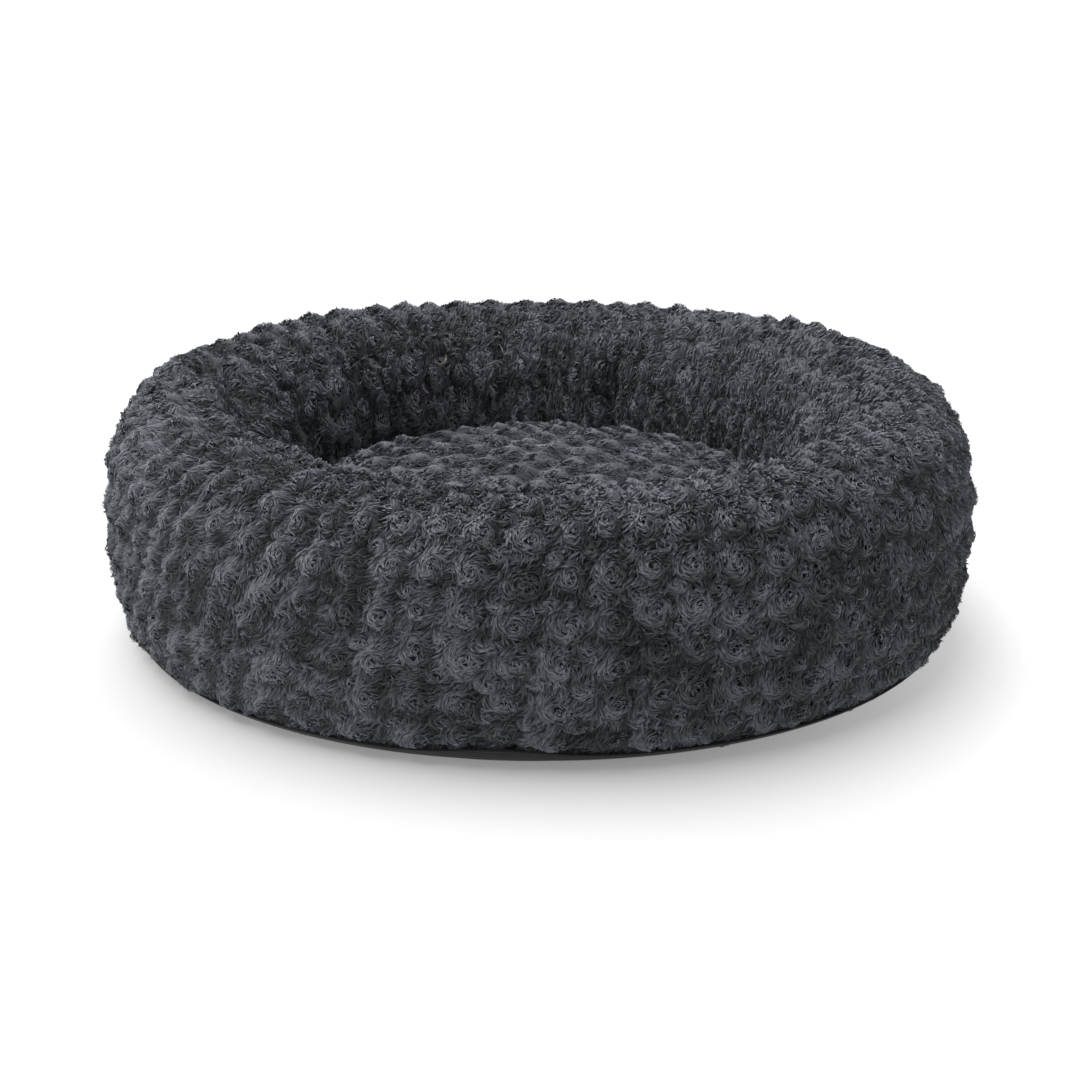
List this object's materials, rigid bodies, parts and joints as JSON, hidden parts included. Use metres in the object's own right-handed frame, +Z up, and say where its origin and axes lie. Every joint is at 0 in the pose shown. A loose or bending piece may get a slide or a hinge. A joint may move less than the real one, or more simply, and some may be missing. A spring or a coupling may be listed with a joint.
{
  "type": "pet cushion bed",
  "caption": "Round pet bed: a stuffed plush bolster ring on a cloth base with a loose zipped plush cushion lying in its hollow.",
  "frame": {"origin": "middle of the bed's footprint, on the floor", "axes": "+Z up along the bed's axis; +Y towards the cushion's closed zip slider; the section is the same all round"},
  "size_m": [0.5499, 0.55, 0.154],
  "materials": {
    "plush": "matte",
    "fibre_fill": "matte",
    "black_cloth": "matte",
    "grey_cloth": "matte",
    "zip_tape": "matte",
    "zip_teeth": "satin",
    "zip_metal": "satin"
  },
  "bodies": {
    "bed": {"bolster_cover": "plush", "bolster_fill": "fibre_fill", "base_panel": "black_cloth", "hem_tape": "grey_cloth"},
    "cushion": {"cushion_top_cover": "plush", "cushion_boxing": "grey_cloth", "cushion_underside": "grey_cloth", "cushion_fill": "fibre_fill", "zip_tape_upper": "zip_tape", "zip_tape_lower": "zip_tape", "zip_teeth_upper": "zip_teeth", "zip_teeth_lower": "zip_teeth", "zip_top_stop": "zip_metal", "zip_bottom_stop": "zip_metal"},
    "slider": {"zip_slider": "zip_metal"},
    "pull": {"zip_pull": "zip_metal"}
  },
  "joints": [
    {"name": "cushion_lift", "type": "slide", "parent": "bed", "child": "cushion", "axis": [0, 0, 1], "range_m": [0, 0.2]},
    {"name": "zip_travel", "type": "hinge", "parent": "cushion", "child": "slider", "pos_m": [0, 0, 0.018], "axis": [0, 0, 1], "range_deg": [0, 90]},
    {"name": "pull_flip", "type": "hinge", "parent": "slider", "child": "pull", "pos_m": [0, 0.142, 0.018], "axis": [0, 0, 1], "range_deg": [0, 150]}
  ]
}
